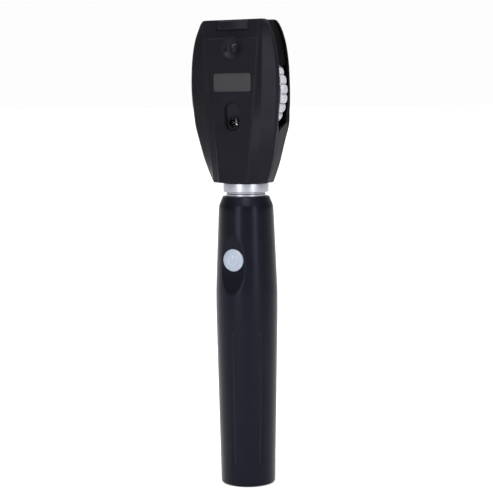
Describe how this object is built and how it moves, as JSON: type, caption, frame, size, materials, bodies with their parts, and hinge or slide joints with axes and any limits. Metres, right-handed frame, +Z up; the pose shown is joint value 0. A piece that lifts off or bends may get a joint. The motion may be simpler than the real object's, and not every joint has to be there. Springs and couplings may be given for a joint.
{
  "type": "ophthalmoscope",
  "caption": "Handheld direct ophthalmoscope: flat tulip-shaped head with a scalloped lens wheel, metal collar and a fluted black battery handle with a thumb switch.",
  "frame": {"origin": "centre of the handle's flat base, on the handle's axis", "axes": "+Z up the handle towards the head, -Y towards the examiner (viewing dish and button), +X to the right seen from the examiner's side"},
  "size_m": [0.0544, 0.0326, 0.2444],
  "materials": {
    "satin_black": "satin",
    "matte_black": "matte",
    "sleeve_black": "satin black coating on aluminium",
    "black_rubber": "matte",
    "grey_print": "satin",
    "pale_plastic": "soft gloss",
    "button_plastic": "translucent, soft gloss",
    "turned_aluminium": "turned, satin",
    "steel": "bright",
    "brass": "gold plated",
    "glass": "clear, polished",
    "mirror_silver": "front silvered",
    "board_green": "glass-fibre board",
    "lamp_yellow": "phosphor dome",
    "battery_wrap": "printed sleeve, no lettering",
    "moulded_grey": "moulded"
  },
  "bodies": {
    "handle": {"handle_sleeve": "sleeve_black", "handle_top_ring": "turned_aluminium", "top_insulator": "moulded_grey", "contact_pin": "brass", "contact_spring": "steel", "board_carrier": "moulded_grey", "circuit_board": "board_green", "driver_chip": "moulded_grey", "tactile_switch": "moulded_grey", "button_spring": "steel", "battery_contact": "brass", "battery_upper": "battery_wrap", "battery_lower": "battery_wrap"},
    "button": {"button_cap": "button_plastic"},
    "cap_seal": {"cap_seal": "black_rubber"},
    "bottom_cap": {"bottom_cap": "satin_black", "cap_spring": "steel"},
    "collar": {"collar": "turned_aluminium"},
    "head": {"head_front_cover": "satin_black", "head_rear_cover": "satin_black", "head_chassis": "matte_black", "cover_screw_1": "steel", "cover_screw_2": "steel", "cover_screw_3": "steel", "cover_screw_4": "steel", "viewing_dish": "satin_black", "viewing_window": "glass", "dial_window_frame": "satin_black", "dial_window_lens": "glass", "name_plate": "grey_print", "brow_rest": "black_rubber", "wheel_axle": "steel", "wheel_axle_clip": "steel", "detent_spring": "steel", "condenser_holder": "matte_black", "optics_tube": "matte_black", "condenser_lens": "glass", "focusing_lens": "glass", "aperture_axle": "steel", "mirror": "mirror_silver", "mirror_holder": "matte_black", "patient_window": "glass", "lamp_base": "turned_aluminium", "lamp_contact": "brass", "lamp_board": "board_green", "lamp_emitter": "lamp_yellow"},
    "lens_wheel": {"lens_wheel": "pale_plastic", "wheel_lens_01": "glass", "wheel_lens_02": "glass", "wheel_lens_03": "glass", "wheel_lens_04": "glass", "wheel_lens_05": "glass", "wheel_lens_06": "glass", "wheel_lens_07": "glass", "wheel_lens_08": "glass", "wheel_lens_09": "glass", "wheel_lens_10": "glass", "wheel_lens_11": "glass"},
    "aperture_wheel": {"aperture_wheel": "matte_black"}
  },
  "joints": [
    {"name": "button_press", "type": "slide", "parent": "handle", "child": "button", "axis": [0, 1, 0], "range_m": [0, 0.0007], "stiffness_N_per_m": 2000},
    {"name": "cap_travel", "type": "slide", "parent": "handle", "child": "cap_seal", "axis": [0, 0, -1], "range_m": [0, 0.00527]},
    {"name": "cap_turn", "type": "hinge", "parent": "cap_seal", "child": "bottom_cap", "pos_m": [0, 0, 0], "axis": [0, 0, -1], "range_deg": [0, 1260]},
    {"name": "head_lift", "type": "slide", "parent": "handle", "child": "collar", "axis": [0, 0, 1], "range_m": [0, 0.012]},
    {"name": "head_turn", "type": "hinge", "parent": "collar", "child": "head", "pos_m": [0, 0, 0.1606], "axis": [0, 0, 1], "range_deg": [0, 45]},
    {"name": "lens_wheel_turn", "type": "hinge", "parent": "head", "child": "lens_wheel", "pos_m": [0, -0.0065, 0.2075], "axis": [0, 1, 0], "continuous": true},
    {"name": "aperture_wheel_turn", "type": "hinge", "parent": "head", "child": "aperture_wheel", "pos_m": [0, 0.009, 0.1826], "axis": [0, 0, 1], "continuous": true}
  ],
  "couplings": [
    {"joint": "cap_travel", "follows": "cap_turn", "m_per_rad": 0.00023873}
  ]
}
